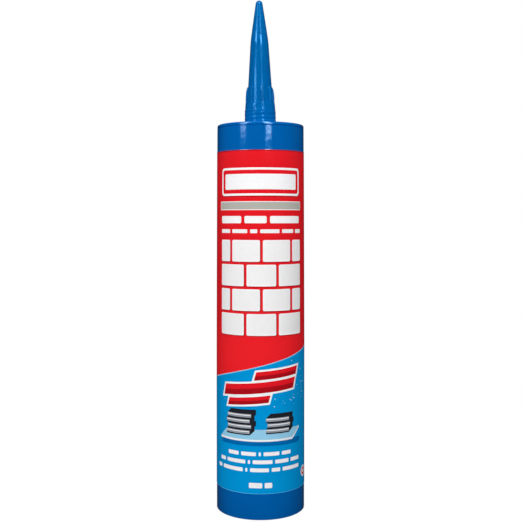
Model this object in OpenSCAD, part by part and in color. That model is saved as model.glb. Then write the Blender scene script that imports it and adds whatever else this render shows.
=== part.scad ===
// Caulk tube: a filled plastic cartridge with a screw-on nozzle, standing upright on its open rear rim.
// Origin: centre of the rear rim, on the surface it stands on. +Z runs up the cartridge to the nozzle's tip.
// -Y is the front of the label. All lengths are in millimetres.

/* [Barrel] */
// Height of the barrel, from the rear rim to the front rim
barrel_h = 218.6; // [205:0.1:235]
// Outside radius at the rear rim
rear_r = 25.05; // [24.6:0.05:26]
// Outside radius where the filled barrel is fullest
belly_r = 25.15; // [24.8:0.05:26]
// Height of the fullest place above the rear rim
belly_z = 95; // [60:1:150]
// Outside radius at the front rim
front_r = 24.8; // [24.4:0.05:25.5]
// Radius of the bore that the piston runs in
bore_r = 23.3; // [22.6:0.05:23.5]
// How much wider the rear mouth is than the bore, on the radius
mouth_step = 0.25; // [0.1:0.05:0.4]
// Depth of the wide rear mouth
mouth_len = 30; // [15:0.5:34]
// Length of the taper from the mouth to the bore
mouth_taper = 1.5; // [0.5:0.1:3]
// Rounding of the rear rim, outside and inside
rear_edge = 0.3; // [0.1:0.05:0.4]

/* [Front plate] */
// Thickness of the front plate
plate_t = 2; // [1.2:0.1:3]
// Depth of the front plate below the rim ring
plate_recess = 0.6; // [0.2:0.1:1.5]
// Width of the flat ring that stands around the plate
ring_w = 2.5; // [1.5:0.1:4]
// Rounding of the front rim's outer edge
front_edge = 0.9; // [0.4:0.1:1.2]
// Distance of the mould groove below the front rim
groove_drop = 1.9; // [1.6:0.1:4]
// Radius of the mould groove's half-round section
groove_r = 0.25; // [0.1:0.05:0.4]
// Rounding inside, between the bore and the front plate
inner_fillet = 1; // [0.5:0.1:2]

/* [Neck] */
// Outside radius of the neck at the root of its thread
neck_r = 6.9; // [6.4:0.05:7]
// Height of the neck above the front plate
neck_h = 11.8; // [10:0.1:12.2]
// Radius of the hole through the neck
neck_hole_r = 5.2; // [4.6:0.1:5.6]
// Chamfer on the neck's mouth
neck_chamfer = 0.4; // [0.2:0.1:0.8]
// Rounding at the foot of the neck
neck_fillet = 0.4; // [0.2:0.05:0.5]
// How far the thread stands out of the neck
thread_depth = 0.55; // [0.4:0.05:0.8]
// Thickness of the foil over the neck's mouth
foil_t = 0.12; // [0.05:0.01:0.3]

/* [Nozzle] */
// Height of the nozzle, from its seat on the plate to its tip
nozzle_h = 72.8; // [62:0.1:90]
// Outside radius of the collar at its foot
collar_r = 8.95; // [8.9:0.05:10]
// Height of the collar, up to the ledge that the grip ribs stand on
collar_h = 13.4; // [13.2:0.1:16]
// Height of the small step in the collar
step_z = 9.2; // [6:0.1:11]
// Depth of that step
step_in = 0.18; // [0.05:0.01:0.3]
// Draft of the collar below the step, on the radius for each millimetre of height
foot_draft = 0.008; // [0:0.001:0.02]
// Draft of the collar above the step, on the radius for each millimetre of height
top_draft = 0.075; // [0:0.005:0.08]
// Depth of the pockets between the grip ribs, measured at the ledge
pocket_depth = 1.05; // [0.8:0.05:1.2]
// Height where the lower cone meets the steeper upper cone
break_z = 49.8; // [40:0.1:56]
// Outside radius at that height
break_r = 5.08; // [4.6:0.02:5.4]
// Radius of the rounded, closed tip
tip_r = 2; // [1.6:0.05:2.4]
// Length of solid plastic at the tip, which the user cuts off
tip_solid = 5; // [3:0.1:8]
// Radius of the passage at its closed end
passage_tip_r = 0.9; // [0.6:0.05:1.1]
// Wall of the nozzle where the two cones meet
nozzle_wall = 1.4; // [1:0.1:1.8]
// Chamfer at the foot of the socket
socket_chamfer = 0.3; // [0.1:0.05:0.5]

/* [Grip ribs] */
// Number of grip ribs around the nozzle
rib_n = 8; // [6:1:12]
// Angle of the first rib from +X
rib_phase = 6.5; // [0:0.5:30]
// Thickness of a grip rib
rib_t = 0.9; // [0.6:0.05:1.4]
// Height of the ribs' tops above the nozzle's seat
rib_top = 23; // [20:0.1:28]
// Length of the ribs' straight edge above the ledge
rib_straight = 2.1; // [1:0.1:4]
// How far the ribs' outer edge stands inside the ledge
rib_inset = 0.1; // [0.05:0.05:0.3]

/* [Piston] */
// Length of the piston
piston_len = 22; // [18:0.5:26]
// Thickness of its front wall
piston_front = 1.8; // [1.2:0.1:3]
// Thickness of its skirt
piston_wall = 1.3; // [1:0.1:1.8]
// How far the sealing lips stand out of the skirt
lip_h = 0.5; // [0.2:0.05:0.8]
// Length of each sealing lip
lip_len = 2.4; // [1.5:0.1:3.5]
// Number of stiffening ribs inside the piston
vane_n = 12; // [8:1:16]
// Thickness of a stiffening rib
vane_t = 1.2; // [0.8:0.1:1.6]
// Depth of the stiffening ribs behind the front wall
vane_h = 11; // [6:0.5:13]
// Radius of the hub that the stiffening ribs meet
hub_r = 7; // [5:0.5:10]

/* [Filling] */
// Height of the column of adhesive between the piston and the front plate
fill_h = 156; // [120:1:165]

/* [Label] */
// Bare barrel left below the label
label_rear_gap = 14.4; // [5:0.1:30]
// Bare barrel left above the label
label_front_gap = 15.4; // [5:0.1:30]
// Thickness of the label film
label_t = 0.1; // [0.05:0.01:0.2]
// Angle of the strip at the back where the film overlaps itself
seam_angle = 14; // [6:1:25]
// Height of the red field's lower edge above the rear rim
field_z = 82; // [60:1:140]

/* [Fits] */
// Gap between the piston's lips and the bore
piston_clearance = 0.05; // [0.02:0.01:0.1]
// Gap between the neck's thread and the nozzle's socket
thread_clearance = 0.1; // [0.05:0.01:0.2]
// Gap between the foil and the ledge inside the nozzle
foil_clearance = 0.15; // [0.1:0.05:0.3]
// Gap around the adhesive
fill_clearance = 0.1; // [0.05:0.05:0.2]
// Layer of glue under the label
glue_t = 0.02; // [0.01:0.01:0.05]

/* [Hidden] */
$fn = 96;

// Heights above the rear rim
plate_z = barrel_h - plate_recess;
plate_in_z = plate_z - plate_t;
neck_top_z = plate_z + neck_h;
piston_front_z = plate_in_z - fill_h;
piston_back_z = piston_front_z - piston_len;
label_z0 = label_rear_gap;
label_z1 = barrel_h - label_front_gap;

// Radii and depths that follow from the sizes above
mouth_r = bore_r + mouth_step;
ring_r = front_r - front_edge - ring_w;
socket_r = neck_r + thread_depth + thread_clearance;
socket_depth = neck_h + foil_t + foil_clearance;
step_r = collar_r - foot_draft * step_z;
ledge_r = step_r - step_in - top_draft * (collar_h - step_z);
cone_foot_r = ledge_r - pocket_depth;
rib_r = ledge_r - rib_inset;
lip_r = bore_r - piston_clearance;
skirt_r = lip_r - lip_h;
round_steps = 6;
overcut = 1;

// Points along an arc about [x, y], from one angle to another
function arc(x, y, r, from, to, steps = round_steps) =
    [for (i = [0:steps]) let (a = from + (to - from) * i / steps) [x + r * cos(a), y + r * sin(a)]];

// Outside radius of the barrel at a height: two straight drafts that meet at the belly
function shell_r(z) = z < belly_z
    ? rear_r + (belly_r - rear_r) * z / belly_z
    : belly_r + (front_r - belly_r) * (z - belly_z) / (barrel_h - belly_z);

// Outside radius of the nozzle's lower cone at a height above its seat
function cone_r(z) = cone_foot_r + (break_r - cone_foot_r) * (z - collar_h) / (break_z - collar_h);

// One section for the whole moulding: barrel, front plate and neck are one piece of plastic
module cartridge_section() {
    groove_z = barrel_h - groove_drop;
    polygon(concat(
        arc(rear_r - rear_edge, rear_edge, rear_edge, -90, 0),
        [[belly_r, belly_z]],
        arc(shell_r(groove_z), groove_z, groove_r, -90, -270),
        arc(front_r - front_edge, barrel_h - front_edge, front_edge, 0, 90),
        [[ring_r, barrel_h], [ring_r - plate_recess, plate_z]],
        arc(neck_r + neck_fillet, plate_z + neck_fillet, neck_fillet, 270, 180),
        [[neck_r, neck_top_z - neck_chamfer], [neck_r - neck_chamfer, neck_top_z]],
        [[neck_hole_r, neck_top_z], [neck_hole_r, plate_in_z]],
        arc(bore_r - inner_fillet, plate_in_z - inner_fillet, inner_fillet, 90, 0),
        [[bore_r, mouth_len + mouth_taper], [mouth_r, mouth_len]],
        [[mouth_r, rear_edge], [mouth_r + rear_edge, 0]]
    ));
}

module cartridge() {
    color([0.02, 0.33, 0.66])
        rotate_extrude() cartridge_section();
}

// Nozzle section, from the foot of the socket round the outside to the closed end of the passage
module nozzle_section() {
    tip_centre = nozzle_h - tip_r;
    reach = norm([break_r, break_z - tip_centre]);
    tangent = atan2(break_z - tip_centre, break_r) + acos(tip_r / reach);
    polygon(concat(
        [[socket_r + socket_chamfer, 0], [collar_r, 0]],
        [[step_r, step_z], [step_r - step_in, step_z]],
        [[ledge_r, collar_h], [cone_foot_r, collar_h], [break_r, break_z]],
        arc(0, tip_centre, tip_r, tangent, 90),
        [[0, nozzle_h - tip_solid], [passage_tip_r, nozzle_h - tip_solid]],
        [[break_r - nozzle_wall, break_z], [neck_hole_r, socket_depth]],
        [[socket_r, socket_depth], [socket_r, socket_chamfer]]
    ));
}

// A grip rib: straight above the ledge, then falling to the cone in a quarter ellipse
module grip_rib() {
    root_r = cone_r(rib_top);
    foot_r = (root_r + neck_hole_r) / 2;
    rise = rib_top - collar_h - rib_straight;
    rotate([90, 0, 0])
        linear_extrude(height = rib_t, center = true)
            polygon(concat(
                [[foot_r, collar_h - overcut], [rib_r, collar_h - overcut]],
                [for (a = [0:15:90]) [
                    root_r + (rib_r - root_r) * cos(a),
                    collar_h + rib_straight + rise * sin(a)
                ]],
                [[foot_r, rib_top]]
            ));
}

module nozzle() {
    color([0.02, 0.36, 0.70])
        translate([0, 0, plate_z]) {
            rotate_extrude() nozzle_section();
            for (i = [0:rib_n - 1])
                rotate(rib_phase + i * 360 / rib_n)
                    grip_rib();
        }
}

// Foil disc sealed over the neck's mouth, pierced through the nozzle before use
module seal_foil() {
    color([0.80, 0.80, 0.82])
        translate([0, 0, neck_top_z])
            cylinder(r = neck_r - neck_chamfer, h = foil_t);
}

// Cup-shaped piston, open to the rear, with a sealing lip at each end of its skirt
module piston_section() {
    lip_taper = lip_len / 2;
    front = piston_len;
    polygon([
        [skirt_r - piston_wall, 0], [lip_r - lip_h / 2, 0],
        [lip_r, lip_taper / 2], [lip_r, lip_len], [skirt_r, lip_len + lip_taper],
        [skirt_r, front - inner_fillet - lip_len - lip_taper],
        [lip_r, front - inner_fillet - lip_len], [lip_r, front - inner_fillet],
        [lip_r - inner_fillet, front], [0, front],
        [0, front - piston_front], [skirt_r - piston_wall, front - piston_front]
    ]);
}

// A stiffening rib, from the wall of the hub to the wall of the skirt
module piston_vane() {
    from_r = hub_r + vane_t / 2;
    to_r = skirt_r - piston_wall / 2;
    translate([from_r, -vane_t / 2, 0])
        cube([to_r - from_r, vane_t, vane_h + piston_front / 2]);
}

module piston() {
    color([0.93, 0.93, 0.90])
        translate([0, 0, piston_back_z]) {
            rotate_extrude() piston_section();
            translate([0, 0, piston_len - piston_front - vane_h]) {
                rotate_extrude()
                    translate([hub_r, 0])
                        square([vane_t, vane_h + piston_front / 2]);
                for (i = [0:vane_n - 1])
                    rotate(i * 360 / vane_n)
                        piston_vane();
            }
        }
}

// The filling takes the shape of the bore, the plate and the hole through the neck
module adhesive() {
    side_r = bore_r - fill_clearance;
    top_z = plate_in_z - fill_clearance;
    color([0.95, 0.94, 0.88])
        rotate_extrude()
            polygon(concat(
                [[0, piston_front_z + fill_clearance], [side_r, piston_front_z + fill_clearance]],
                arc(side_r - inner_fillet, top_z - inner_fillet, inner_fillet, 0, 90),
                [[neck_hole_r - fill_clearance, top_z]],
                [[neck_hole_r - fill_clearance, neck_top_z - fill_clearance]],
                [[0, neck_top_z - fill_clearance]]
            ));
}

// A layer that follows the barrel between two heights, from one distance off its surface to another
module wrap_section(z0, z1, inner, outer) {
    bend = z0 < belly_z && belly_z < z1 ? [belly_z] : [];
    up = concat([z0], bend, [z1]);
    down = concat([z1], bend, [z0]);
    polygon(concat(
        [for (z = up) [shell_r(z) + outer, z]],
        [for (z = down) [shell_r(z) + inner, z]]
    ));
}

// One field of the printed film
module label_field(z0, z1) {
    rotate_extrude()
        wrap_section(z0, z1, glue_t, glue_t + label_t);
}

// The strip at the back where the film overlaps itself
module label_seam() {
    rotate(90 - seam_angle / 2)
        rotate_extrude(angle = seam_angle)
            wrap_section(label_z0, label_z1, glue_t, glue_t + 2 * label_t);
}

// One printed film: a red field above, a light blue field below
module label() {
    color([0.92, 0.11, 0.14]) {
        label_field(field_z, label_z1);
        label_seam();
    }
    color([0.00, 0.55, 0.82])
        label_field(label_z0, field_z);
}

cartridge();
nozzle();
seal_foil();
piston();
adhesive();
label();
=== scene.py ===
"""Looks of a filled caulk cartridge: moulded barrel and nozzle, printed label, foil, piston and adhesive."""
import math
import random

import bmesh
import bpy
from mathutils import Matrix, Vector
from mathutils.geometry import delaunay_2d_cdt


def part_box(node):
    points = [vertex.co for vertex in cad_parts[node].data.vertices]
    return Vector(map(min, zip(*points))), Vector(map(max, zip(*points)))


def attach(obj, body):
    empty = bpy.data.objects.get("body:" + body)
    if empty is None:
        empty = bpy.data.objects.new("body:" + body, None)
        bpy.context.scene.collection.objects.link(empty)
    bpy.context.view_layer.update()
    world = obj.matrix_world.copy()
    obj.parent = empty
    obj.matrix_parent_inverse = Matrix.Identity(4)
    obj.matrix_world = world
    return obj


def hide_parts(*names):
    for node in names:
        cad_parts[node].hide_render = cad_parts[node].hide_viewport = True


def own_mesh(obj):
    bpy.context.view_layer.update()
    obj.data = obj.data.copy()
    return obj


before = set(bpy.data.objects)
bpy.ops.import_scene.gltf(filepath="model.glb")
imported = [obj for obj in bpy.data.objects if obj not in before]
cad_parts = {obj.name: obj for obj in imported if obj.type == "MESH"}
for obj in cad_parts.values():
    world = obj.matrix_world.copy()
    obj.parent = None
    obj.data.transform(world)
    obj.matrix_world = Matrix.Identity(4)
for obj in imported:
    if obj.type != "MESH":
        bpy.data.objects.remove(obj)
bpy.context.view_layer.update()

# Lengths are in millimetres where nothing else is said, and a mesh is scaled to metres as it is made
MM = 0.001


def span(node):
    """Lowest and highest height of a CAD node, in millimetres."""
    low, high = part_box(node)
    return low.z / MM, high.z / MM


# Heights that the frame gives
LABEL_Z0, LABEL_Z1 = span("label")
SEAT_Z, TIP_Z = span("nozzle")
PISTON_Z0, PISTON_Z1 = span("piston")
NECK_TOP_Z = span("seal_foil")[0]
FILL_Z0, FILL_Z1 = span("adhesive")

# Barrel
PLATE_RECESS = 0.6
PLATE_T = 2.0
BARREL_H = SEAT_Z + PLATE_RECESS
PLATE_IN_Z = SEAT_Z - PLATE_T
REAR_R = 25.05
BELLY_R = 25.15
BELLY_Z = 95.0
FRONT_R = 24.8
BORE_R = 23.3
MOUTH_R = 23.55
MOUTH_LEN = 30.0
MOUTH_TAPER = 1.5
REAR_EDGE = 0.45
FRONT_EDGE = 0.9
RING_R = 21.4
GROOVE_DROP = 1.9
GROOVE_HALF = 0.3
GROOVE_DEPTH = 0.36
INNER_FILLET = 1.0
RING_EDGE = 0.1
PLATE_FILLET = 0.2
# Heights of two rows that keep the barrel's long faces even
LOW_ROW = 12
HIGH_ROW = 200

# Neck and its thread
NECK_R = 6.9
NECK_HOLE_R = 5.2
NECK_CHAMFER = 0.4
NECK_FILLET = 0.4
THREAD_PITCH = 2.35
THREAD_TURNS = 3.7
THREAD_DEPTH = 0.55
THREAD_START = 1.94
# How far a ridge goes into the wall that carries it
THREAD_SUNK = 0.05
SOCKET_TURNS = THREAD_TURNS - 0.4
# Points to a turn, how steeply a ridge rises from its ends, and the share of full size that it has there
THREAD_STEPS = 64
THREAD_RISE = 22.0
THREAD_END = 0.05

# Nozzle, with its heights counted from the seat
NOZZLE_H = TIP_Z - SEAT_Z
SOCKET_R = 7.55
SOCKET_DEPTH = 12.07
SOCKET_CHAMFER = 0.3
COLLAR_R = 9.02
COLLAR_H = 13.4
FOOT_DRAFT = 0.008
TOP_DRAFT = 0.075
STEP_Z = 9.2
STEP_IN = 0.18
STEP_R = COLLAR_R - FOOT_DRAFT * STEP_Z
LEDGE_R = STEP_R - STEP_IN - TOP_DRAFT * (COLLAR_H - STEP_Z)
CONE_FOOT_R = LEDGE_R - 1.05
# Ripples on the collar: their depth, the heights they rise and fade over, and where they are cut off
RIPPLE = 0.13
RIPPLE_RISE = 1.5
RIPPLE_FADE = 6.5
RIPPLE_FROM = 0.3
RIPPLE_TO = COLLAR_H - 0.25
BREAK_Z = 49.8
BREAK_R = 5.08
BREAK_BLEND = 3.2
TIP_R = 2.0
TIP_SOLID = 5.0
PASSAGE_TIP_R = 0.9
NOZZLE_WALL = 1.4
RIBS = 8
RIB_PHASE = 6.5
RIB_R = LEDGE_R - 0.1
RIB_STRAIGHT = 2.1
RIB_TOP = 23.0
POCKET_FILLET = 0.35
# Share of a rib's height that its chamfer takes off
RIB_CHAMFER = 0.18
# In degrees: half the flat crest, the run of the chamfer, the run of the soft flank, and half the rib
RIB_FLAT = 1.2
RIB_CHAMFER_RUN = 2.2
RIB_FLANK = 1.2
RIB_SIDE = 4.6
# Degrees from a rib's middle at which the skin has columns of points
RIB_COLUMNS = (0, 1.0, 1.4, 2.3, 3.2, 3.5, 3.8, 4.1, 4.6, 6, 9, 13, 17.5)
# Steps between rows of points, which are closer over the last stretch below the ribs' top
COLLAR_ROW = 0.3
RIB_ROW = 0.4
RIB_END = 1.2
RIB_END_ROW = 0.15
RIB_END_GAP = 0.05
CONE_ROW = 3
LEAN = -0.0105
THREAD_PLAY = 0.07

# Piston
PISTON_FRONT = 1.8
PISTON_WALL = 1.3
LIP_R = 23.25
LIP_H = 0.5
LIP_LEN = 2.4
VANES = 12
VANE_T = 1.2
VANE_H = 11.0
HUB_R = 7.0
PISTON_EDGE = 0.3
CUP_FILLET = 0.8

# Foil and filling
FOIL_EDGE = 0.03
FOIL_RINGS = (0.86, 0.8, 0.5, 0.25)
FILL_EDGE = 0.2

# Label film, laid out flat: across is the distance round the barrel from the front, to the right
FILM_T = 0.1
GLUE_T = 0.02
FILM_R = 25.2
HALF_ROUND = math.pi * FILM_R
LAP_HALF = math.radians(7.0) * FILM_R
LAP_RAMP = 1.2
LAP_GAP = 0.005
FILM_STEP = 1.3
FILM_ROWS = (40.0, 65.0, BELLY_Z, 120.0, 145.0, 170.0)
CUT_EDGE = 0.2
TOP_CUT = 1.7 * CUT_EDGE
TOP_LINE = 3.7 * CUT_EDGE
EDGE_ROUND = 0.4
EDGE_ROWS = (0.1, 0.3, 0.75, 1.0)
# Share of the film's thickness that its rounded top edge falls by
EDGE_FALL = 0.8
# The triangulation's choice of what lies inside the outlines, and the gap that it closes
INSIDE = 1
CLOSED_GAP = 1e-4

# The photograph's camera, in its own 522 pixel frame
FRAME_PX = 522
AXIS_COLUMN = 260.5
HORIZON_ROW = 220.0
FOCAL_PX = 859.0
CAMERA_DISTANCE = 495.0
CAMERA_HEIGHT = 164.4
SENSOR = 36.0

# The studio, in metres and degrees. A glow is the brightness of a lamp's face.
DRAPE_R = 1.5
DRAPE_H = 9.0
DRAPE_LIFT = 0.0003
DRAPE_SIDES = 48
DRAPE_BLACK = (0.01, 0.01, 0.012, 1)
SHOULDER = 0.215
STRIP_AWAY = 0.8
# Azimuths of the two columns of strips
LEFT_COLUMN = -46
RIGHT_COLUMN = 21
# A strip has two layers of half its glow. The narrower one is the core, which stops short of the ends by
# this many degrees, or by this share of a short strip.
LAYER_GLOW = 0.5
CORE_WIDTH = 0.5
CORE_INSET = 0.4
CORE_SHARE = 0.3
# Stretches of a column: lowest and highest elevation, width, glow, and the left and the right one's share
STRETCHES = (
    ("band", 5.5, 6.1, 0.2, 14.0, 0.35, 0.8),
    ("spot", 6.15, 6.35, 0.2, 62.0, 0.4, 0.6),
    ("rim", 6.9, 7.2, 0.2, 70.0, 0.3, 0.8),
    ("collar", 7.2, 16.4, 0.28, 9.0, 0.8, 0.7),
    ("cone", 16.4, 18.4, 0.28, 38.0, 0.85, 0.4),
    ("break", 23.5, 30.5, 0.28, 42.0, 0.9, 1.0),
    ("tip", 30.5, 38.0, 0.2, 14.0, 0.8, 0.8),
    ("high", 38.0, 66.0, 0.2, 40.0, 0.55, 1.0),
)
BOX_GLOW = 7.0
BOX_AWAY = 1.5
BOX_AIM = 0.15
BOX_SIZE = (0.8, 0.8)
# The small boxes at the shoulder's sides, with the azimuth and glow of each
SIDE_RISE = 50
SIDE_AWAY = 0.5
SIDE_SIZE = (0.3, 0.3)
SIDE_BOXES = ((-75, 1.5), (75, 4.3))
# Azimuth, elevation and share of the box glow of each soft box
SOFT_BOXES = (
    (-30, 30, 1.1), (17, 30, 0.85), (-105, 20, 0.25), (105, 20, 0.2), (180, 30, 1.4), (0, 88, 0.3),
)
AMBIENT = 0.02
FLOOR_HALF = 3
# The floor's grey as it lights the tube, then its glow and grey as they show, and where it turns white
FLOOR_GREY = (0.05, 0.05, 0.05, 1)
FLOOR_GLOW = 0.87
FLOOR_FAINT = (0.12, 0.12, 0.12, 1)
FLOOR_NEAR = 0.2
FLOOR_FAR = 0.4

# Pieces stay smooth over edges of fewer degrees than this
SHARP_ANGLE = 38
# The part of a noise's range that a colour or a gloss is spread over
NOISE_LOW = 0.3
NOISE_HIGH = 0.7
# A coat's roughness as a share of the gloss below it
COAT_SHARE = 0.4
IOR_COAT = 1.5

# Low, because the ink dulls the film's gloss
IOR_FILM = 1.14
FILM_GLOSS = 0.13
IOR_CUT = 1.6
CUT_GLOSS = 0.09
FILM_SPECKLE = (0.965, 0.965, 0.965, 1.0)
# Heights where the red field starts to turn into its foot colour, and where it has turned
FOOT_FADE = (107.0, 96.0)

WHITE = (1, 1, 1, 1)
# Blue plastic glows bluish round a highlight, as some of the light comes back from below its skin
BLUE_SHEEN = (0.1, 0.5, 1.0, 1.0)


def srgb(red, green, blue):
    """A colour as a screen shows it, 0 to 255, turned into the linear values that a shader takes."""
    linear = [((c / 255 + 0.055) / 1.055) ** 2.4 if c > 10 else c / 255 / 12.92 for c in (red, green, blue)]
    return (*linear, 1.0)


def add(tree, kind, inputs=None, **settings):
    """A new node with its settings and its unlinked inputs."""
    made = tree.nodes.new(kind)
    for key, value in settings.items():
        setattr(made, key, value)
    for key, value in (inputs or {}).items():
        made.inputs[key].default_value = value
    return made


def placed(name, data):
    """A new object in the scene."""
    made = bpy.data.objects.new(name, data)
    bpy.context.scene.collection.objects.link(made)
    return made


def empty_material(name):
    material = bpy.data.materials.new(name)
    material.use_nodes = True
    material.node_tree.nodes.clear()
    return material, material.node_tree


def finish_with(tree, shader):
    output = add(tree, "ShaderNodeOutputMaterial")
    tree.links.new(shader.outputs[0], output.inputs["Surface"])


def noise_at(tree, place, scale, detail=2.0, roughness=0.5, stretch=(1, 1, 1)):
    """Noise on the object's own coordinates. The scale counts features to the metre."""
    mapping = add(tree, "ShaderNodeMapping", {"Scale": stretch})
    tree.links.new(place.outputs["Object"], mapping.inputs["Vector"])
    noise = add(tree, "ShaderNodeTexNoise", {"Scale": scale, "Detail": detail, "Roughness": roughness})
    tree.links.new(mapping.outputs["Vector"], noise.inputs["Vector"])
    return noise


def two_tone(tree, source, dark, light, start=NOISE_LOW, end=NOISE_HIGH):
    """A colour that goes from dark to light as the source goes from start to end."""
    ramp = add(tree, "ShaderNodeValToRGB")
    ramp.color_ramp.elements[0].position = start
    ramp.color_ramp.elements[0].color = dark
    ramp.color_ramp.elements[1].position = end
    ramp.color_ramp.elements[1].color = light
    tree.links.new(source.outputs[0], ramp.inputs["Fac"])
    return ramp


def bumped(tree, shader, source, strength, depth, after=None):
    """Gives the shader a bump of a depth in millimetres, on top of one made before."""
    bump = add(tree, "ShaderNodeBump", {"Strength": strength, "Distance": depth * MM})
    tree.links.new(source.outputs[0], bump.inputs["Height"])
    if after:
        tree.links.new(after.outputs["Normal"], bump.inputs["Normal"])
    tree.links.new(bump.outputs["Normal"], shader.inputs["Normal"])
    return bump


def coloured(tree, shader, tint, noise, low, high):
    """Gives the shader a colour, and a roughness that a noise spreads from low to high."""
    rough = add(tree, "ShaderNodeMapRange", {
        "From Min": NOISE_LOW, "From Max": NOISE_HIGH, "To Min": low, "To Max": high,
    })
    tree.links.new(noise.outputs[0], rough.inputs["Value"])
    tree.links.new(tint.outputs[0], shader.inputs["Base Color"])
    tree.links.new(rough.outputs[0], shader.inputs["Roughness"])


def moulded_plastic(name, colour, shade, gloss, waviness, sheen=WHITE, skin=0.0, shine=0.5):
    """Moulded polyethylene: slightly cloudy colour, a wavy and glossy skin, and faint rub marks."""
    material, tree = empty_material(name)
    place = add(tree, "ShaderNodeTexCoord")
    shader = add(tree, "ShaderNodeBsdfPrincipled", {
        "Specular IOR Level": shine, "Specular Tint": sheen,
        "Coat Weight": skin, "Coat Roughness": gloss * COAT_SHARE, "Coat IOR": IOR_COAT,
    })
    cloud = noise_at(tree, place, scale=38, detail=3, roughness=0.55)
    tint = two_tone(tree, cloud, shade, colour)
    rub = noise_at(tree, place, scale=160, detail=4, roughness=0.6, stretch=(1, 1, 0.25))
    coloured(tree, shader, tint, rub, low=gloss - 0.015, high=gloss + 0.03)
    swells = noise_at(tree, place, scale=300)
    wave = bumped(tree, shader, swells, strength=1.0, depth=waviness)
    pores = noise_at(tree, place, scale=2400, detail=3, roughness=0.6)
    fine = bumped(tree, shader, pores, strength=0.3, depth=0.004, after=wave)
    tree.links.new(fine.outputs["Normal"], shader.inputs["Coat Normal"])
    finish_with(tree, shader)
    return material


def printed_film(name, colour, gloss, density, foot=None):
    """Ink under a satin film: even colour, with the film's slight unevenness in the gloss.

    A foot colour takes over from the first one low on the red field."""
    material, tree = empty_material(name)
    place = add(tree, "ShaderNodeTexCoord")
    shader = add(tree, "ShaderNodeBsdfPrincipled", {"IOR": density})
    grain = noise_at(tree, place, scale=900, detail=3, roughness=0.6)
    speckle = two_tone(tree, grain, FILM_SPECKLE, WHITE, start=0.35, end=0.6)
    tint = add(tree, "ShaderNodeVectorMath", {0: colour[:3]}, operation="MULTIPLY")
    tree.links.new(speckle.outputs["Color"], tint.inputs[1])
    if foot:
        height = add(tree, "ShaderNodeSeparateXYZ")
        tree.links.new(place.outputs["Object"], height.inputs[0])
        start, end = (z * MM for z in FOOT_FADE)
        fall = add(tree, "ShaderNodeMapRange", {"From Min": start, "From Max": end})
        tree.links.new(height.outputs["Z"], fall.inputs["Value"])
        faded = two_tone(tree, fall, colour, foot, start=0.0, end=1.0)
        tree.links.new(faded.outputs["Color"], tint.inputs[0])
    streaks = noise_at(tree, place, scale=70, detail=3, roughness=0.6, stretch=(1, 1, 0.4))
    coloured(tree, shader, tint, streaks, low=gloss - 0.02, high=gloss + 0.04)
    bumped(tree, shader, noise_at(tree, place, scale=90, stretch=(1, 1, 0.5)), strength=0.2, depth=0.03)
    finish_with(tree, shader)
    return material


def crinkled_foil():
    """Foil with the small crinkles that sealing leaves, and a thin milky lacquer over the metal."""
    material, tree = empty_material("crinkled_foil")
    place = add(tree, "ShaderNodeTexCoord")
    shader = add(tree, "ShaderNodeBsdfPrincipled", {"Metallic": 0.6})
    crinkle = noise_at(tree, place, scale=700, detail=4, roughness=0.6)
    tint = two_tone(tree, crinkle, srgb(196, 197, 200), srgb(228, 229, 232))
    coloured(tree, shader, tint, crinkle, low=0.22, high=0.38)
    bumped(tree, shader, crinkle, strength=0.6, depth=0.08)
    finish_with(tree, shader)
    return material


def thick_paste():
    """Off-white adhesive: smooth and wet where it met the wall, with soft folds."""
    material, tree = empty_material("thick_paste")
    place = add(tree, "ShaderNodeTexCoord")
    shader = add(tree, "ShaderNodeBsdfPrincipled", {"Subsurface Weight": 0.15, "Subsurface Scale": 0.002})
    folds = noise_at(tree, place, scale=60, detail=3, stretch=(1, 1, 2))
    tint = two_tone(tree, folds, srgb(232, 228, 214), srgb(246, 244, 234))
    coloured(tree, shader, tint, folds, low=0.25, high=0.4)
    bumped(tree, shader, folds, strength=0.5, depth=0.3)
    finish_with(tree, shader)
    return material


def shown(name, mesh, material, body, node):
    """Links a finished mesh as the piece that stands for a CAD node, smooth but for its sharp edges."""
    if not mesh.materials:
        mesh.materials.append(material)
    mesh.shade_smooth()
    mesh.set_sharp_from_angle(angle=math.radians(SHARP_ANGLE))
    piece = placed(name, mesh)
    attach(piece, body)
    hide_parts(node)
    return piece


def arc(x, z, radius, start, end, steps=6):
    """Points of (radius, height) along an arc, in degrees."""
    points = []
    for i in range(steps + 1):
        angle = math.radians(start + (end - start) * i / steps)
        points.append((x + radius * math.cos(angle), z + radius * math.sin(angle)))
    return points


def straight(start, end, step):
    """Points from one (radius, height) to another, about a step apart."""
    count = max(1, round(math.dist(start, end) / step))
    return [tuple(a + (b - a) * i / count for a, b in zip(start, end)) for i in range(count + 1)]


def even_angles(columns):
    return [2 * math.pi * i / columns for i in range(columns)]


def clamped(value):
    return min(1.0, max(0.0, value))


def smooth(share):
    """A rise from 0 to 1 that starts and ends level."""
    return share * share * (3 - 2 * share)


def turned(name, section, angles, swell=None):
    """A closed skin turned round the axis from a loop of (radius, height).

    The loop runs up the outside, so that the faces point outwards, and a radius of 0 is a pole.
    swell(row, angle) adds to a row's radius, for ribs and ripples."""
    vertices, rings = [], []
    for row, (radius, height) in enumerate(section):
        first = len(vertices)
        if radius == 0:
            vertices.append((0, 0, height * MM))
            rings.append([first] * len(angles))
            continue
        for angle in angles:
            r = (radius + (swell(row, angle) if swell else 0)) * MM
            vertices.append((r * math.cos(angle), r * math.sin(angle), height * MM))
        rings.append(list(range(first, first + len(angles))))
    faces = []
    for lower, upper in zip(rings, rings[1:] + rings[:1]):
        for i in range(len(angles)):
            j = (i + 1) % len(angles)
            corners = list(dict.fromkeys((lower[i], lower[j], upper[j], upper[i])))
            if len(corners) > 2:
                faces.append(corners)
    mesh = bpy.data.meshes.new(name)
    mesh.from_pydata(vertices, [], faces)
    mesh.validate()
    return mesh


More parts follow.
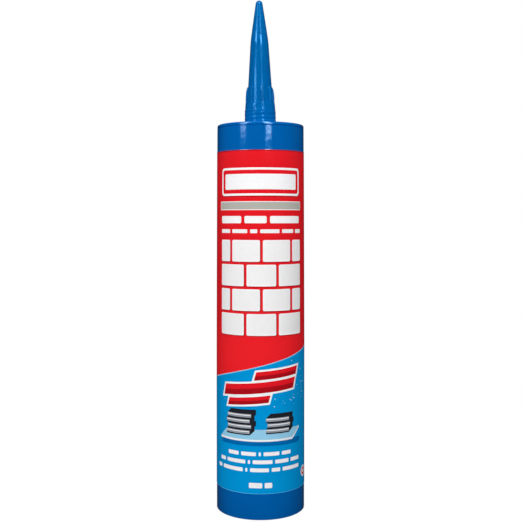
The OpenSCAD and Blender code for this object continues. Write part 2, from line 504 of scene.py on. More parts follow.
def joined(mesh, *others):
    """Adds other meshes of the same material to a mesh."""
    whole = bmesh.new()
    whole.from_mesh(mesh)
    for other in others:
        whole.from_mesh(other)
    whole.to_mesh(mesh)
    whole.free()
    return mesh


def new_tree(name, sizes):
    """A geometry tree with one named input for each size, and the sockets that give them."""
    tree = bpy.data.node_groups.new(name, "GeometryNodeTree")
    tree.interface.new_socket("Geometry", in_out="OUTPUT", socket_type="NodeSocketGeometry")
    for label, kind in sizes.items():
        tree.interface.new_socket(label, in_out="INPUT", socket_type="NodeSocket" + kind)
    return tree, add(tree, "NodeGroupInput").outputs


def end_tree(tree, last, material):
    """Ends a tree in Realize Instances and Set Material."""
    real = add(tree, "GeometryNodeRealizeInstances")
    dressed = add(tree, "GeometryNodeSetMaterial", {"Material": material})
    output = add(tree, "NodeGroupOutput")
    tree.links.new(last, real.inputs[0])
    tree.links.new(real.outputs[0], dressed.inputs["Geometry"])
    tree.links.new(dressed.outputs[0], output.inputs[0])


def grown(tree, sizes):
    """The plain mesh that a tree grows from these sizes."""
    host = placed(tree.name, bpy.data.meshes.new(tree.name))
    modifier = host.modifiers.new(tree.name, "NODES")
    modifier.node_group = tree
    for item in tree.interface.items_tree:
        if item.in_out == "INPUT":
            modifier[item.identifier] = sizes[item.name]
    host.update_tag()
    evaluated = host.evaluated_get(bpy.context.evaluated_depsgraph_get())
    mesh = bpy.data.meshes.new_from_object(evaluated)
    bpy.data.objects.remove(host)
    return mesh


def maths(tree, operation, a, b):
    """A math node on two values, each a socket or a number."""
    node = add(tree, "ShaderNodeMath", operation=operation)
    for socket, value in zip(node.inputs, (a, b)):
        if isinstance(value, (int, float)):
            socket.default_value = value
        else:
            tree.links.new(value, socket)
    return node.outputs[0]


def moved(tree, source, way, amount):
    """A node's geometry, shifted along z or turned about it."""
    whole = add(tree, "GeometryNodeTransform")
    along = add(tree, "ShaderNodeCombineXYZ")
    tree.links.new(amount, along.inputs["Z"])
    tree.links.new(along.outputs[0], whole.inputs[way])
    tree.links.new(source.outputs[0], whole.inputs["Geometry"])
    return whole.outputs[0]


def thread_tree(material):
    """A ridge that winds up a cylinder and runs out at both ends.

    Facing is -90 degrees for a ridge that points outwards, and 90 for one that points inwards."""
    tree, size = new_tree("screw_thread", {
        "Radius": "Float", "Depth": "Float", "Foot": "Float", "Crest": "Float",
        "Pitch": "Float", "Turns": "Float", "Start": "Float", "Facing": "Float",
    })
    link = tree.links.new
    path = add(tree, "GeometryNodeCurveSpiral", {"Resolution": THREAD_STEPS, "Reverse": False})
    link(size["Turns"], path.inputs["Rotations"])
    link(size["Radius"], path.inputs["Start Radius"])
    link(size["Radius"], path.inputs["End Radius"])
    link(maths(tree, "MULTIPLY", size["Pitch"], size["Turns"]), path.inputs["Height"])
    upright = add(tree, "GeometryNodeSetCurveNormal", mode="Z_UP")
    link(path.outputs[0], upright.inputs["Curve"])
    along = add(tree, "GeometryNodeSplineParameter").outputs["Factor"]
    from_end = maths(tree, "MINIMUM", along, maths(tree, "SUBTRACT", 1.0, along))
    fade = maths(tree, "MINIMUM", maths(tree, "MULTIPLY", from_end, THREAD_RISE), 1.0)
    faded = add(tree, "GeometryNodeSetCurveRadius")
    link(upright.outputs[0], faded.inputs["Curve"])
    link(maths(tree, "MAXIMUM", fade, THREAD_END), faded.inputs["Radius"])
    ridge = add(tree, "GeometryNodeCurvePrimitiveQuadrilateral", mode="TRAPEZOID")
    link(size["Foot"], ridge.inputs["Bottom Width"])
    link(size["Crest"], ridge.inputs["Top Width"])
    link(size["Depth"], ridge.inputs["Height"])
    ridge.inputs["Offset"].default_value = 0.0
    turned_ridge = moved(tree, ridge, "Rotation", size["Facing"])
    swept = add(tree, "GeometryNodeCurveToMesh", {"Fill Caps": True})
    link(faded.outputs[0], swept.inputs["Curve"])
    link(turned_ridge, swept.inputs["Profile Curve"])
    end_tree(tree, moved(tree, swept, "Translation", size["Start"]), material)
    return tree


def vane_tree(material):
    """Stiffening ribs set round a circle, each pointing to the axis."""
    tree, size = new_tree("piston_vanes", {
        "Count": "Int", "Inner radius": "Float", "Outer radius": "Float",
        "Thickness": "Float", "Height": "Float", "Foot height": "Float",
    })
    link = tree.links.new
    inner, outer = size["Inner radius"], size["Outer radius"]
    middle = maths(tree, "MULTIPLY", maths(tree, "ADD", inner, outer), 0.5)
    ring = add(tree, "GeometryNodeMeshCircle")
    link(size["Count"], ring.inputs["Vertices"])
    link(middle, ring.inputs["Radius"])
    extent = add(tree, "ShaderNodeCombineXYZ")
    link(maths(tree, "SUBTRACT", outer, inner), extent.inputs["X"])
    link(size["Thickness"], extent.inputs["Y"])
    link(size["Height"], extent.inputs["Z"])
    vane = add(tree, "GeometryNodeMeshCube")
    link(extent.outputs[0], vane.inputs["Size"])
    place = add(tree, "GeometryNodeInputPosition")
    facing = add(tree, "FunctionNodeAlignRotationToVector", axis="X")
    link(place.outputs[0], facing.inputs["Vector"])
    spread = add(tree, "GeometryNodeInstanceOnPoints")
    link(ring.outputs[0], spread.inputs["Points"])
    link(vane.outputs[0], spread.inputs["Instance"])
    link(facing.outputs[0], spread.inputs["Rotation"])
    half = maths(tree, "MULTIPLY", size["Height"], 0.5)
    lift = maths(tree, "ADD", size["Foot height"], half)
    end_tree(tree, moved(tree, spread, "Translation", lift), material)
    return tree


def shell_r(z):
    """Outside radius of the barrel at a height: two drafts that meet at the belly."""
    if z < BELLY_Z:
        return REAR_R + (BELLY_R - REAR_R) * z / BELLY_Z
    return BELLY_R + (FRONT_R - BELLY_R) * (z - BELLY_Z) / (BARREL_H - BELLY_Z)


def thread_sizes(radius, foot, crest, turns, start, facing):
    """What the thread's tree takes, from measures in millimetres and degrees."""
    return {
        "Radius": radius * MM, "Depth": (THREAD_DEPTH + 2 * THREAD_SUNK) * MM,
        "Foot": foot * MM, "Crest": crest * MM, "Pitch": THREAD_PITCH * MM, "Turns": turns,
        "Start": (SEAT_Z + start) * MM, "Facing": math.radians(facing),
    }


def make_cartridge(material, thread):
    groove_z = BARREL_H - GROOVE_DROP
    lip = FRONT_R - FRONT_EDGE
    section = [
        *arc(REAR_R - REAR_EDGE, REAR_EDGE, REAR_EDGE, -90, 0),
        (shell_r(LOW_ROW), LOW_ROW), (BELLY_R, BELLY_Z), (shell_r(HIGH_ROW), HIGH_ROW),
        (shell_r(groove_z - GROOVE_HALF), groove_z - GROOVE_HALF),
        (shell_r(groove_z) - GROOVE_DEPTH, groove_z),
        (shell_r(groove_z + GROOVE_HALF), groove_z + GROOVE_HALF),
        *arc(lip, BARREL_H - FRONT_EDGE, FRONT_EDGE, 0, 90, steps=10),
        *arc(RING_R + RING_EDGE, BARREL_H - RING_EDGE, RING_EDGE, 90, 180, steps=3),
        *arc(RING_R - PLATE_RECESS, SEAT_Z + PLATE_FILLET, PLATE_FILLET, 0, -90, steps=3),
        *arc(NECK_R + NECK_FILLET, SEAT_Z + NECK_FILLET, NECK_FILLET, 270, 180),
        (NECK_R, NECK_TOP_Z - NECK_CHAMFER), (NECK_R - NECK_CHAMFER, NECK_TOP_Z),
        (NECK_HOLE_R, NECK_TOP_Z), (NECK_HOLE_R, PLATE_IN_Z),
        *arc(BORE_R - INNER_FILLET, PLATE_IN_Z - INNER_FILLET, INNER_FILLET, 90, 0),
        (BORE_R, MOUTH_LEN + MOUTH_TAPER), (MOUTH_R, MOUTH_LEN),
        *arc(MOUTH_R + REAR_EDGE, REAR_EDGE, REAR_EDGE, 180, 270, steps=4),
    ]
    mesh = turned("cartridge_moulding", section, even_angles(columns=240))
    ridge = grown(thread, thread_sizes(
        NECK_R + THREAD_DEPTH / 2 - THREAD_SUNK, foot=1.3, crest=0.55,
        turns=THREAD_TURNS, start=THREAD_START, facing=-90,
    ))
    return shown("cartridge_moulding", joined(mesh, ridge), material, "barrel", "cartridge")


def cone_r(z):
    """Outside radius of the nozzle's lower cone at a height above its seat."""
    return CONE_FOOT_R + (BREAK_R - CONE_FOOT_R) * (z - COLLAR_H) / (BREAK_Z - COLLAR_H)


def rib_edge_r(z):
    """Outer edge of a grip rib: straight, then falling to the cone in a quarter ellipse."""
    start = COLLAR_H + RIB_STRAIGHT
    if z <= start:
        return RIB_R
    share = min(1.0, (z - start) / (RIB_TOP - start))
    return cone_r(RIB_TOP) + (RIB_R - cone_r(RIB_TOP)) * math.sqrt(1 - share * share)


def plain(points):
    """Rows without a rib, from points of (radius, height)."""
    return [(radius, height, 0) for radius, height in points]


def nozzle_rows():
    """Rows of (radius, height, rib gain) from the foot round the outside and down the passage.

    The small numbers beside a name round an edge off."""
    upper_r = STEP_R - STEP_IN
    rows = plain([(COLLAR_R - 0.25, 0), (COLLAR_R - 0.07, 0.06), (COLLAR_R, 0.25)])
    rows += plain(straight((COLLAR_R, 0.5), (STEP_R, STEP_Z - 0.25), COLLAR_ROW))
    rows += plain([(STEP_R - 0.02, STEP_Z - 0.1), (STEP_R - 0.08, STEP_Z)])
    rows += plain([(upper_r + 0.03, STEP_Z + 0.06), (upper_r, STEP_Z + 0.2)])
    rows += plain(straight((upper_r - 0.02, STEP_Z + 0.4), (LEDGE_R, COLLAR_H - 0.12), COLLAR_ROW))
    rows += [(LEDGE_R - 0.01, COLLAR_H - 0.05, 0), (LEDGE_R - 0.05, COLLAR_H - 0.01, 0.01)]
    rows += [(LEDGE_R - 0.12, COLLAR_H, RIB_R - LEDGE_R + 0.12)]
    fillet = arc(CONE_FOOT_R + POCKET_FILLET, COLLAR_H + POCKET_FILLET, POCKET_FILLET, 255, 180, steps=4)
    rows += [(r, z, RIB_R - r) for r, z in fillet]
    height = COLLAR_H + 2 * POCKET_FILLET
    while height < RIB_TOP - RIB_END_GAP:
        rows.append((cone_r(height), height, rib_edge_r(height) - cone_r(height)))
        height += RIB_ROW if RIB_TOP - height > RIB_END else RIB_END_ROW
    rows.append((cone_r(RIB_TOP), RIB_TOP, 0))
    # The break between the cones is blended over a stretch on both sides of it
    below, above = BREAK_Z - BREAK_BLEND, BREAK_Z + BREAK_BLEND
    tip_centre = NOZZLE_H - TIP_R
    reach = math.hypot(BREAK_R, BREAK_Z - tip_centre)
    tangent = math.degrees(math.atan2(BREAK_Z - tip_centre, BREAK_R) + math.acos(TIP_R / reach))
    tip = arc(0, tip_centre, TIP_R, tangent, 90, steps=10)
    slope = (tip[0][0] - BREAK_R) / (tip[0][1] - BREAK_Z)
    rows += plain(straight((cone_r(RIB_TOP + 1), RIB_TOP + 1), (cone_r(below), below), CONE_ROW))
    turn = slope - (BREAK_R - CONE_FOOT_R) / (BREAK_Z - COLLAR_H)
    for run in (0.5, 1.0, 1.5):
        height = below + run * BREAK_BLEND
        rows.append((cone_r(height) + turn * BREAK_BLEND * run * run / 4, height, 0))
    rows += plain(straight((BREAK_R + slope * BREAK_BLEND, above), tip[0], CONE_ROW))
    rows += plain(tip[1:-1])
    passage_end = NOZZLE_H - TIP_SOLID
    rows += plain([(0, NOZZLE_H), (0, passage_end)])
    rows += plain([(PASSAGE_TIP_R * 0.7, passage_end - 0.2), (PASSAGE_TIP_R, passage_end - 0.8)])
    rows += plain([(BREAK_R - NOZZLE_WALL, BREAK_Z), (NECK_HOLE_R, SOCKET_DEPTH)])
    rows += plain([(SOCKET_R, SOCKET_DEPTH), (SOCKET_R, SOCKET_CHAMFER), (SOCKET_R + SOCKET_CHAMFER, 0)])
    return rows


def rib_weight(angle):
    """1 on a rib's crest and 0 in a pocket, with a chamfer beside the crest and a soft flank."""
    pitch = 360 / RIBS
    off = abs((math.degrees(angle) - RIB_PHASE + pitch / 2) % pitch - pitch / 2)
    chamfer = RIB_CHAMFER * clamped((off - RIB_FLAT) / RIB_CHAMFER_RUN)
    return (1 - chamfer) * smooth(clamped((RIB_SIDE - off) / RIB_FLANK))


def ripple(height, angle):
    """Sink marks that the thread inside leaves on the collar, winding as it does and fading upwards."""
    turns = (height - THREAD_START) / THREAD_PITCH - angle / (2 * math.pi)
    fade = min(clamped(height / RIPPLE_RISE), clamped((COLLAR_H - height) / RIPPLE_FADE))
    return RIPPLE * fade * (0.5 + 0.5 * math.cos(2 * math.pi * turns))


def make_nozzle(material, thread):
    rows = nozzle_rows()
    angles = []
    for rib in range(RIBS):
        for off in [*(-o for o in reversed(RIB_COLUMNS[1:])), *RIB_COLUMNS, 180 / RIBS]:
            angles.append(math.radians(RIB_PHASE + rib * 360 / RIBS + off))
    outside_end = next(i for i, row in enumerate(rows) if row[0] == 0)

    def swell(row, angle):
        radius, height, gain = rows[row]
        extra = gain * rib_weight(angle) if gain else 0
        if row < outside_end and RIPPLE_FROM < height < RIPPLE_TO:
            extra -= ripple(height, angle)
        return extra

    section = [(radius, height + SEAT_Z) for radius, height, gain in rows]
    mesh = turned("nozzle_moulding", section, angles, swell)
    ridge = grown(thread, thread_sizes(
        SOCKET_R - THREAD_DEPTH / 2 + THREAD_SUNK, foot=1.1, crest=0.45,
        turns=SOCKET_TURNS, start=THREAD_START + THREAD_PITCH / 2, facing=90,
    ))
    joined(mesh, ridge)
    # The moulding leans a little to the left, as it cooled, and stands off the axis by the thread's play
    for vertex in mesh.vertices:
        vertex.co.x += LEAN * (vertex.co.z - SEAT_Z * MM) - THREAD_PLAY * MM
    return shown("nozzle_moulding", mesh, material, "nozzle", "nozzle")


def make_foil(material):
    low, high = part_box("seal_foil")
    radius, bottom, top = high.x / MM, low.z / MM, high.z / MM
    section = [
        (0, bottom), (radius - FOIL_EDGE, bottom), (radius, bottom + FOIL_EDGE),
        (radius, top - FOIL_EDGE), (radius - FOIL_EDGE, top),
        *[(radius * share, top) for share in FOIL_RINGS], (0, top),
    ]
    mesh = turned("foil_disc", section, even_angles(columns=72))
    return shown("foil_disc", mesh, material, "barrel", "seal_foil")


def make_piston(material):
    skirt_r = LIP_R - LIP_H
    inner_r = skirt_r - PISTON_WALL
    front = PISTON_Z1 - PISTON_Z0
    lip_back = front - INNER_FILLET - LIP_LEN
    section = [
        (inner_r, PISTON_EDGE), (inner_r + PISTON_EDGE, 0), (LIP_R - LIP_H / 2, 0), (LIP_R, LIP_LEN / 4),
        (LIP_R, LIP_LEN), (skirt_r, LIP_LEN * 1.5), (skirt_r, lip_back - LIP_LEN / 2), (LIP_R, lip_back),
        *arc(LIP_R - INNER_FILLET, front - INNER_FILLET, INNER_FILLET, 0, 90),
        (HUB_R, front), (0, front), (0, front - PISTON_FRONT),
        *arc(inner_r - CUP_FILLET, front - PISTON_FRONT - CUP_FILLET, CUP_FILLET, 90, 0, steps=4),
    ]
    vane_foot = front - PISTON_FRONT - VANE_H
    vane_high = VANE_H + PISTON_FRONT / 2
    hub = [
        (HUB_R + VANE_T, vane_foot), (HUB_R + VANE_T, vane_foot + vane_high),
        (HUB_R, vane_foot + vane_high), (HUB_R, vane_foot),
    ]

    def lifted(points):
        return [(r, z + PISTON_Z0) for r, z in points]

    vanes = grown(vane_tree(material), {
        "Count": VANES, "Thickness": VANE_T * MM, "Height": vane_high * MM,
        "Inner radius": (HUB_R + VANE_T / 2) * MM, "Outer radius": (inner_r + PISTON_WALL / 2) * MM,
        "Foot height": (PISTON_Z0 + vane_foot) * MM,
    })
    cup = turned("piston_moulding", lifted(section), even_angles(columns=144))
    mesh = joined(cup, turned("piston_hub", lifted(hub), even_angles(columns=72)), vanes)
    return shown("piston_moulding", mesh, material, "piston", "piston")


def make_filling(material):
    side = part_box("adhesive")[1].x / MM
    top = PLATE_IN_Z - (BORE_R - side)
    column = NECK_HOLE_R - (BORE_R - side)
    section = [
        (0, FILL_Z0), (side * 0.5, FILL_Z0), (side - FILL_EDGE, FILL_Z0), (side, FILL_Z0 + FILL_EDGE),
        (side, (FILL_Z0 + top) / 2), *arc(side - INNER_FILLET, top - INNER_FILLET, INNER_FILLET, 0, 90),
        (column, top), (column, FILL_Z1), (0, FILL_Z1),
    ]
    mesh = turned("adhesive_filling", section, even_angles(columns=120))
    piece = shown("adhesive_filling", mesh, material, "barrel", "adhesive")
    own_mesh(piece)
    return piece


# The label's inks, and the shapes printed with them
INKS = {
    "ink_field_red": srgb(227, 29, 38),
    "ink_red": srgb(227, 27, 38),
    "ink_deep_red": srgb(172, 18, 28),
    "ink_sky_blue": srgb(2, 149, 217),
    "ink_deep_blue": srgb(0, 104, 176),
    "ink_pale_blue": srgb(150, 208, 238),
    "ink_white": srgb(246, 246, 248),
    "ink_pale_grey": srgb(242, 241, 242),
    "ink_silver": srgb(178, 177, 170),
    "ink_steel": srgb(150, 158, 168),
    "ink_charcoal": srgb(34, 36, 42),
    # The top cut edge's pale pinkish colour is partly the film's own edge and partly painted highlight: the
    # light that the edge catches, painted into its colour
    "cut_film_painted_light_edge": srgb(112, 62, 112),
    "clear_film_edge": srgb(95, 196, 255),
}
# Colours that an ink turns into low on its field
FOOT_INKS = {"ink_field_red": srgb(239, 35, 42)}


def box_shape(left, right, low, high, corner=0.0):
    """A rectangle with rounded corners, anticlockwise."""
    if not corner:
        return [(left, low), (right, low), (right, high), (left, high)]
    points = []
    for x, z, start in (
        (right - corner, low + corner, -90), (right - corner, high - corner, 0),
        (left + corner, high - corner, 90), (left + corner, low + corner, 180),
    ):
        points += arc(x, z, corner, start, start + 90, steps=4)
    return points


def slanted(points, about, slope, lean):
    """Leans a shape to the right as it rises, then lifts it to the right."""
    x0, z0 = about
    return [(x + (z - z0) * lean, z + (x - x0) * slope) for x, z in points]


def disc(x, z, radius, sides):
    return arc(x, z, radius, 0, 360 * (sides - 1) / sides, steps=sides - 1)


FIELD_MIDDLE = 84.0
FIELD_SLOPE = 0.25
FIELD_TURN = 40.0
PALE_LINE = 0.45
# Drops on the blue field, of which a share is kept to the left of a line
DROPS = 70
DROPS_ACROSS = (-27, 30)
DROPS_UP = (62, 92)
DROP_SIZES = (0.1, 0.32)
DROP_CLEAR = 1.5
DROPS_LINE = 8
DROPS_LEFT = 0.35


def field_edge(across):
    """Height of the edge between the red and the blue field: it climbs in front and falls behind."""
    if abs(across) <= FIELD_TURN:
        return FIELD_MIDDLE + FIELD_SLOPE * across
    side = math.copysign(1, across)
    left = max(0.0, 1 - (abs(across) - FIELD_TURN) / (HALF_ROUND - FIELD_TURN))
    return FIELD_MIDDLE + side * FIELD_SLOPE * FIELD_TURN * left


def fields(left, right):
    """The blue field with its pale top line, below the red field."""
    stops = [left, -HALF_ROUND, -FIELD_TURN, FIELD_TURN, HALF_ROUND, right]
    base = [(left, LABEL_Z0), (right, LABEL_Z0)]
    pale = base + [(x, field_edge(x) + PALE_LINE) for x in reversed(stops)]
    blue = base + [(x, field_edge(x)) for x in reversed(stops)]
    return [("ink_pale_blue", pale), ("ink_sky_blue", blue)]


def name_plate():
    """A blank plate over a silver bar, where such a label carries a name."""
    return [
        ("ink_deep_red", box_shape(-25.4, 26.2, 177.2, 192.6, 2.0)),
        ("ink_white", box_shape(-25.8, 25.8, 177.8, 193.2, 2.0)),
        ("ink_red", box_shape(-24.6, 24.6, 179.0, 192.0, 1.4)),
        ("ink_white", box_shape(-22.6, 22.6, 181.2, 189.8, 0.8)),
        ("ink_white", box_shape(-27.4, 27.4, 169.9, 174.7)),
        ("ink_silver", box_shape(-27.0, 27.0, 170.3, 174.3)),
    ]


def dashes(row_z, height, start, widths, gap, ink="ink_white"):
    """A row of short bars, one for each width."""
    shapes = []
    for width in widths:
        shapes.append((ink, box_shape(start, start + width, row_z, row_z + height, height * 0.2)))
        start += width + gap
    return shapes


def brickwork():
    """Courses of white blocks in running bond, each with a pale face and a dark red shadow."""
    shapes = []
    left, right, low = -26.0, 27.0, 101.0
    high, joint, length = 11.9, 1.6, 16.6
    for course in range(4):
        z = low + course * (high + joint)
        for k in range(4):
            start = left + k * (length + joint) - (course % 2) * (length + joint) / 2
            a, b = max(left, start), min(right, start + length)
            if b - a < 3:
                continue
            shapes.append(("ink_deep_red", box_shape(a + 0.35, b + 0.5, z - 0.5, z + high - 0.3, 0.8)))
            shapes.append(("ink_white", box_shape(a, b, z, z + high, 0.8)))
            shapes.append(("ink_pale_grey", box_shape(a + 0.8, b - 0.8, z + 0.8, z + high - 0.8, 0.4)))
    return shapes


def slanted_bars():
    """Three red bars with white outlines, climbing to the right."""
    shapes = []
    for left, right, low, high in (
        (-3.0, 23.0, 77.6, 82.2), (-22.5, 21.0, 69.4, 75.4), (-19.5, 5.0, 63.2, 67.2),
    ):
        middle = (low + high) / 2
        about = ((left + right) / 2, middle)
        for ink, grow, top in (("ink_white", 1.1, high), ("ink_red", 0, high), ("ink_deep_red", 0, middle)):
            outline = box_shape(left - grow, right + grow, low - grow, top + grow, 0.6 if grow else 0)
            shapes.append((ink, slanted(outline, about, 0.09, 0.28)))
    return shapes


def slab(left, low, width, depth, thick, top_ink, edge_ink, side_ink):
    """A flat board drawn at a slant: its top, its front edge and its right edge."""
    shift_x, shift_z = depth * 0.55, depth * 0.5
    right, high = left + width, low + thick
    top = [(left, high), (right, high), (right + shift_x, high + shift_z), (left + shift_x, high + shift_z)]
    side = [(right, low), (right + shift_x, low + shift_z), (right + shift_x, high + shift_z), (right, high)]
    return [(top_ink, top), (edge_ink, box_shape(left, right, low, high)), (side_ink, side)]


def stacked_boards():
    """Two stacks of dark boards on a pale shelf."""
    shapes = [("ink_deep_blue", slanted(box_shape(-25.5, 26.0, 40.6, 43.6, 1.2), (0, 42), 0.0, 0.4))]
    shapes += slab(-26.5, 43.0, 46.0, 11.0, 1.1, "ink_pale_blue", "ink_white", "ink_pale_grey")
    for left, low, width, count in ((-21.0, 46.4, 15.0, 4), (3.0, 47.2, 14.0, 3)):
        for i in range(count):
            z = low + i * 3.0
            a = left + 0.8 * (i % 2)
            b = a + width
            shapes += slab(a, z, width, 5.0, 2.6, "ink_charcoal", "ink_steel", "ink_charcoal")
            shapes.append(("ink_pale_grey", box_shape(a + 0.3, b - 0.3, z + 1.7, z + 2.2)))
            shapes.append(("ink_charcoal", box_shape(a, b, z, z + 0.7)))
    return shapes


def round_mark():
    """A small round mark near the right edge."""
    rings = (("ink_white", 3.3, 24), ("ink_red", 2.2, 24), ("ink_white", 1.1, 16))
    return [(ink, disc(31.5, 22.6, radius, sides)) for ink, radius, sides in rings]


def splashes():
    """Fine drops scattered over the upper blue field."""
    rng = random.Random(7)
    shapes = []
    while len(shapes) < DROPS:
        x, z = rng.uniform(*DROPS_ACROSS), rng.uniform(*DROPS_UP)
        size = rng.uniform(*DROP_SIZES)
        if z < field_edge(x) - DROP_CLEAR and (x > DROPS_LINE or rng.random() < DROPS_LEFT):
            shapes.append((rng.choice(("ink_white", "ink_pale_blue")), disc(x, z, size, 6)))
    return shapes


def printed_shapes(left, right):
    """Everything printed on the film, in the order in which it is laid down."""
    shapes = [("ink_field_red", box_shape(left, right, LABEL_Z0, LABEL_Z1))]
    shapes += fields(left, right)
    shapes += splashes()
    shapes += name_plate()
    shapes += dashes(162.6, 4.0, -26.0, (15.0, 12.5, 20.5), 1.9)
    shapes += dashes(157.2, 2.1, -26.0, (7.5, 9.5, 4.0, 11.0, 8.0, 5.0), 1.6, "ink_pale_grey")
    shapes += brickwork()
    shapes += slanted_bars()
    shapes += stacked_boards()
    shapes += dashes(35.2, 2.1, -19.5, (7.0, 8.5, 1.2, 9.0, 6.0), 1.5)
    shapes += dashes(30.8, 2.1, -26.5, (4.5, 12.0, 1.2, 11.0, 8.5, 7.0), 1.5)
    shapes += dashes(26.4, 2.1, -29.0, (3.5, 14.0, 1.2, 10.5, 5.0, 12.5), 1.5)
    shapes += dashes(17.6, 2.9, -6.5, (7.5, 4.2), 1.3)
    shapes += round_mark()
    shapes.append(("clear_film_edge", box_shape(left, right, LABEL_Z0, LABEL_Z0 + CUT_EDGE)))
    shapes.append(("ink_deep_red", box_shape(left, right, LABEL_Z1 - TOP_LINE, LABEL_Z1)))
    # The top cut edge, pale with painted highlight as well as its own colour, so it shows as a light line all
    # along
    shapes.append(("cut_film_painted_light_edge", box_shape(left, right, LABEL_Z1 - TOP_CUT, LABEL_Z1)))
    return shapes


def on_film(across, z, depth=0.0):
    """The place on the barrel of a point of the flat film, at a depth below its printed side.

    The right end climbs onto the left one, and the printed side rounds over to the top edge."""
    angle = across / FILM_R - math.pi / 2
    climb = clamped((across - (HALF_ROUND - LAP_HALF - LAP_RAMP)) / LAP_RAMP)
    lap = (FILM_T + LAP_GAP) * smooth(climb)
    if not depth:
        near_edge = max(0.0, 1 - (LABEL_Z1 - z) / EDGE_ROUND)
        depth = EDGE_FALL * FILM_T * (1 - math.sqrt(max(0.0, 1 - near_edge * near_edge)))
    radius = (shell_r(z) + GLUE_T + FILM_T + lap - depth) * MM
    return radius * math.cos(angle), radius * math.sin(angle), z * MM


def make_label():
    """One film wrapped round the barrel, its right end lapped over its left end at the back."""
    left, right = -HALF_ROUND - LAP_HALF, HALF_ROUND + LAP_HALF
    shapes = printed_shapes(left, right)
    points, loops, folds = [], [], []
    for ink, outline in shapes:
        loops.append(list(range(len(points), len(points) + len(outline))))
        points += [Vector(p) for p in outline]
    columns = round((right - left) / FILM_STEP)
    for i in range(1, columns):
        across = left + (right - left) * i / columns
        folds.append((len(points), len(points) + 1))
        points += [Vector((across, LABEL_Z0)), Vector((across, LABEL_Z1))]
    for z in (*FILM_ROWS, *(LABEL_Z1 - EDGE_ROUND * share for share in EDGE_ROWS)):
        folds.append((len(points), len(points) + 1))
        points += [Vector((left, z)), Vector((right, z))]
    found = delaunay_2d_cdt(points, folds, loops, INSIDE, CLOSED_GAP, True)
    flat, triangles, from_shapes = found[0], found[2], found[5]
    inks = list(INKS)
    film = bmesh.new()
    front = [film.verts.new(on_film(*p)) for p in flat]
    back = [film.verts.new(on_film(*p, FILM_T)) for p in flat]
    for corners, sources in zip(triangles, from_shapes):
        film.faces.new([front[i] for i in corners]).material_index = inks.index(shapes[max(sources)][0])
    film.verts.index_update()
    for edge in [edge for edge in film.edges if edge.is_boundary]:
        loop = edge.link_loops[0]
        a, b = loop.vert.index, loop.link_loop_next.vert.index
        film.faces.new((front[b], front[a], back[a], back[b])).material_index = inks.index("cut_film_painted_light_edge")
    for corners in triangles:
        film.faces.new([back[i] for i in reversed(corners)]).material_index = inks.index("cut_film_painted_light_edge")
    mesh = bpy.data.meshes.new("label_film")
    film.to_mesh(mesh)
    film.free()
    for ink in inks:
        cut = ink.endswith("edge")
        finish = (CUT_GLOSS, IOR_CUT) if cut else (FILM_GLOSS, IOR_FILM)
        mesh.materials.append(printed_film(ink, INKS[ink], *finish, FOOT_INKS.get(ink)))
    return shown("label_film", mesh, None, "barrel", "label")


def make_camera():
    data = bpy.data.cameras.new("photo_camera")
    data.sensor_width = SENSOR
    data.lens = FOCAL_PX / FRAME_PX * SENSOR
    data.shift_x = (FRAME_PX / 2 - AXIS_COLUMN) / FRAME_PX
    data.shift_y = (HORIZON_ROW - FRAME_PX / 2) / FRAME_PX
    camera = placed("photo_camera", data)
    camera.location = (0, -CAMERA_DISTANCE * MM, CAMERA_HEIGHT * MM)
    camera.rotation_euler = (math.radians(90), 0, 0)
    bpy.context.scene.camera = camera


def area_light(name, azimuth, elevation, distance, aim, size, glow, glossy=False):
    """A soft lamp that faces the tube. Azimuth 0 is the camera's side, and a positive one is to the right.

    A glossy one shows in the gloss alone, and the others light the colours alone."""
    data = bpy.data.lights.new(name, "AREA")
    data.shape = "RECTANGLE"
    data.size, data.size_y = size
    data.energy = glow * size[0] * size[1] * math.pi
    light = placed(name, data)
    across, up = math.radians(azimuth), math.radians(elevation)
    level = distance * math.cos(up)
    light.location = (level * math.sin(across), -level * math.cos(across), aim + distance * math.sin(up))
    light.rotation_euler = (math.radians(90) - up, 0, across)
    light.visible_glossy = glossy
    light.visible_diffuse = not glossy


def white_when_seen(tree, bright, plain):
    """A bright shader to the camera and in reflections, and a plain one to every other ray."""
    path = add(tree, "ShaderNodeLightPath")
    seen = maths(tree, "MAXIMUM", path.outputs["Is Camera Ray"], path.outputs["Is Glossy Ray"])
    seen = maths(tree, "MAXIMUM", seen, path.outputs["Is Transmission Ray"])
    mix = add(tree, "ShaderNodeMixShader")
    tree.links.new(seen, mix.inputs["Fac"])
    tree.links.new(plain.outputs[0], mix.inputs[1])
    tree.links.new(bright.outputs[0], mix.inputs[2])
    return mix


def make_world():
    world = bpy.data.worlds.new("studio")
    world.use_nodes = True
    tree = world.node_tree
    tree.nodes.clear()
    soft = add(tree, "ShaderNodeBackground", {"Color": WHITE, "Strength": AMBIENT})
    white = add(tree, "ShaderNodeBackground", {"Color": WHITE, "Strength": 1.0})
    output = add(tree, "ShaderNodeOutputWorld")
    tree.links.new(white_when_seen(tree, white, soft).outputs[0], output.inputs["Surface"])
    bpy.context.scene.world = world


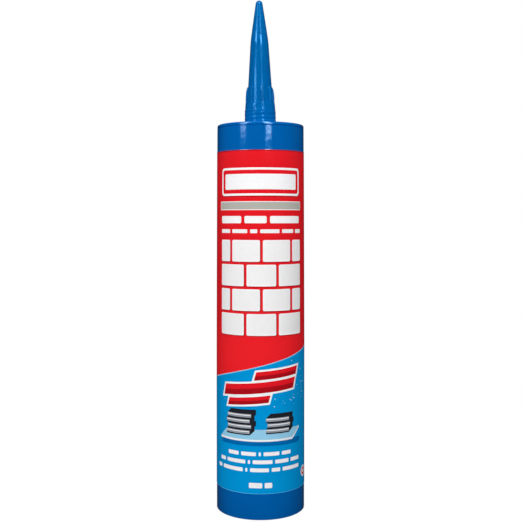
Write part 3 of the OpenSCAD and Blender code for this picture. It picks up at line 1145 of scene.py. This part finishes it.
def make_floor():
    """A pale floor that takes a soft shadow near the tube, and further off is as white as the world."""
    mesh = bpy.data.meshes.new("floor")
    corners = [(x * FLOOR_HALF, y * FLOOR_HALF, 0) for x, y in ((-1, -1), (1, -1), (1, 1), (-1, 1))]
    mesh.from_pydata(corners, [], [(0, 1, 2, 3)])
    panel = placed("floor", mesh)
    material, tree = empty_material("white_floor")
    paper = add(tree, "ShaderNodeBsdfDiffuse", {"Color": FLOOR_GREY})
    glow = add(tree, "ShaderNodeEmission", {"Color": WHITE, "Strength": FLOOR_GLOW})
    faint = add(tree, "ShaderNodeBsdfDiffuse", {"Color": FLOOR_FAINT})
    near = add(tree, "ShaderNodeAddShader")
    tree.links.new(glow.outputs[0], near.inputs[0])
    tree.links.new(faint.outputs[0], near.inputs[1])
    far = add(tree, "ShaderNodeEmission", {"Color": WHITE, "Strength": 1.0})
    place = add(tree, "ShaderNodeTexCoord")
    reach = add(tree, "ShaderNodeVectorMath", operation="LENGTH")
    tree.links.new(place.outputs["Object"], reach.inputs[0])
    ranged = add(tree, "ShaderNodeMapRange", {"From Min": FLOOR_NEAR, "From Max": FLOOR_FAR})
    tree.links.new(reach.outputs["Value"], ranged.inputs["Value"])
    floor_mix = add(tree, "ShaderNodeMixShader")
    tree.links.new(ranged.outputs[0], floor_mix.inputs["Fac"])
    tree.links.new(near.outputs[0], floor_mix.inputs[1])
    tree.links.new(far.outputs[0], floor_mix.inputs[2])
    finish_with(tree, white_when_seen(tree, floor_mix, paper))
    mesh.materials.append(material)


def make_drapes():
    """Black cloth hung round the studio and laid under the tube.

    Only reflections see it, and it darkens the edges."""
    ring = [(DRAPE_R * math.cos(a), DRAPE_R * math.sin(a)) for a in even_angles(DRAPE_SIDES)]
    vertices = [(x, y, DRAPE_LIFT) for x, y in ring] + [(x, y, DRAPE_H) for x, y in ring]
    faces = [tuple(range(DRAPE_SIDES))]
    for i in range(DRAPE_SIDES):
        j = (i + 1) % DRAPE_SIDES
        faces.append((i, j, j + DRAPE_SIDES, i + DRAPE_SIDES))
    mesh = bpy.data.meshes.new("black_drapes")
    mesh.from_pydata(vertices, [], faces)
    drapes = placed("black_drapes", mesh)
    material, tree = empty_material("black_cloth")
    finish_with(tree, add(tree, "ShaderNodeBsdfDiffuse", {"Color": DRAPE_BLACK}))
    mesh.materials.append(material)
    for ray in ("camera", "diffuse", "transmission", "shadow"):
        setattr(drapes, "visible_" + ray, False)


def make_lights():
    """Two broken columns of glossy strips, soft boxes round and above the tube, and two at its shoulder.

    A strip stands between two elevations, as seen from the tube's shoulder."""
    for place, low, high, width, glow, left_share, right_share in STRETCHES:
        for side, azimuth, share in (("left", LEFT_COLUMN, left_share), ("right", RIGHT_COLUMN, right_share)):
            for part, inset, narrowed in (("wide", 0.0, 1.0), ("core", CORE_INSET, CORE_WIDTH)):
                edge = min(inset, CORE_SHARE * (high - low))
                foot, top = low + edge, high - edge
                size = (width * narrowed, 2 * STRIP_AWAY * math.tan(math.radians(top - foot) / 2))
                name = f"{side}_{place}_{part}_strip"
                layer = glow * share * LAYER_GLOW
                area_light(name, azimuth, (foot + top) / 2, STRIP_AWAY, SHOULDER, size, layer, glossy=True)
    for azimuth, elevation, share in SOFT_BOXES:
        name = f"soft_box_{azimuth}_{elevation}"
        area_light(name, azimuth, elevation, BOX_AWAY, BOX_AIM, BOX_SIZE, BOX_GLOW * share)
    for azimuth, glow in SIDE_BOXES:
        area_light(f"side_box_{azimuth}", azimuth, SIDE_RISE, SIDE_AWAY, SHOULDER, SIDE_SIZE, glow)


make_camera()
make_world()
make_floor()
make_drapes()
make_lights()

barrel_blue = moulded_plastic(
    "barrel_blue_polyethylene", srgb(0, 97, 176), srgb(0, 93, 170),
    gloss=0.11, waviness=0.03, sheen=BLUE_SHEEN, skin=0.6, shine=0.7,
)
nozzle_blue = moulded_plastic(
    "nozzle_blue_polyethylene", srgb(0, 95, 161), srgb(0, 90, 154),
    gloss=0.1, waviness=0.012, sheen=BLUE_SHEEN, skin=0.03, shine=0.4,
)
natural = moulded_plastic(
    "natural_polyethylene", srgb(238, 238, 230), srgb(228, 228, 220), gloss=0.35, waviness=0.01,
)
make_cartridge(barrel_blue, thread_tree(barrel_blue))
make_nozzle(nozzle_blue, thread_tree(nozzle_blue))
make_foil(crinkled_foil())
make_piston(natural)
make_filling(thick_paste())
make_label()

bpy.context.scene.view_settings.view_transform = "Standard"
